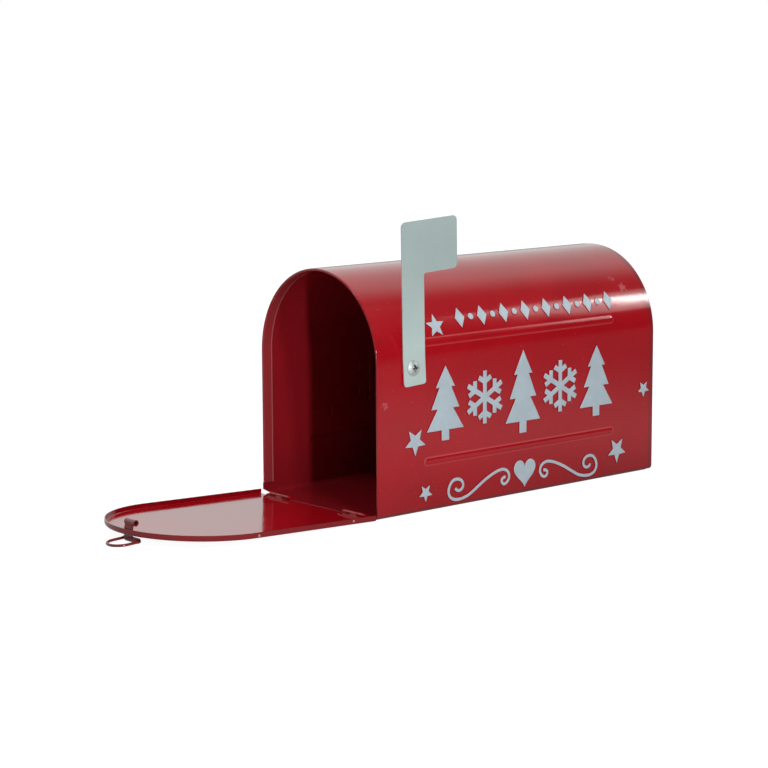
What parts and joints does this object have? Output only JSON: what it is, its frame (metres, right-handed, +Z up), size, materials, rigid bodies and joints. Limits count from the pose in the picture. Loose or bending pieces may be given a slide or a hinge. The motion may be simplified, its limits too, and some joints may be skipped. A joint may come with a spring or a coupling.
{
  "type": "metal mailbox",
  "caption": "Table-top mailbox of painted sheet steel with an arched body, a drop-down door on pin hinges, a latch strip with a ring pull, and a pivoting signal flag.",
  "frame": {"origin": "centre of the underside of the body's floor, on the surface it stands on", "axes": "+Z up, +Y along the body from the mouth to the back, so the door opens towards -Y; +X towards the wall that carries the flag"},
  "size_m": [0.1264, 0.4353, 0.1955],
  "materials": {
    "red_paint": "glossy",
    "ornament_paint": "satin",
    "flag_paint": "satin",
    "zinc": "satin"
  },
  "bodies": {
    "shell": {"body_shell": "red_paint", "back_panel": "red_paint", "floor_leaf_left": "red_paint", "floor_leaf_right": "red_paint", "hinge_pin_left": "zinc", "hinge_pin_right": "zinc", "flag_screw": "zinc", "flag_washer": "zinc", "lock_washer": "zinc", "flag_nut": "zinc", "paint_right": "ornament_paint", "paint_left": "ornament_paint"},
    "door": {"door_pan": "red_paint", "door_leaf_left": "red_paint", "door_leaf_right": "red_paint", "latch_strip": "red_paint"},
    "ring": {"ring_pull": "red_paint"},
    "signal_flag": {"flag": "flag_paint"}
  },
  "joints": [
    {"name": "door_hinge", "type": "hinge", "parent": "shell", "child": "door", "pos_m": [0, -0.1335, 0.0023], "axis": [-1, 0, 0], "range_deg": [0, 88.02]},
    {"name": "ring_swing", "type": "hinge", "parent": "door", "child": "ring", "pos_m": [0.0042, -0.28551, 0.00185], "axis": [1, 0, 0], "range_deg": [-10, 175]},
    {"name": "flag_pivot", "type": "hinge", "parent": "shell", "child": "signal_flag", "pos_m": [0.06145, -0.1018, 0.0976], "axis": [-1, 0, 0], "range_deg": [0, 93.1]}
  ]
}
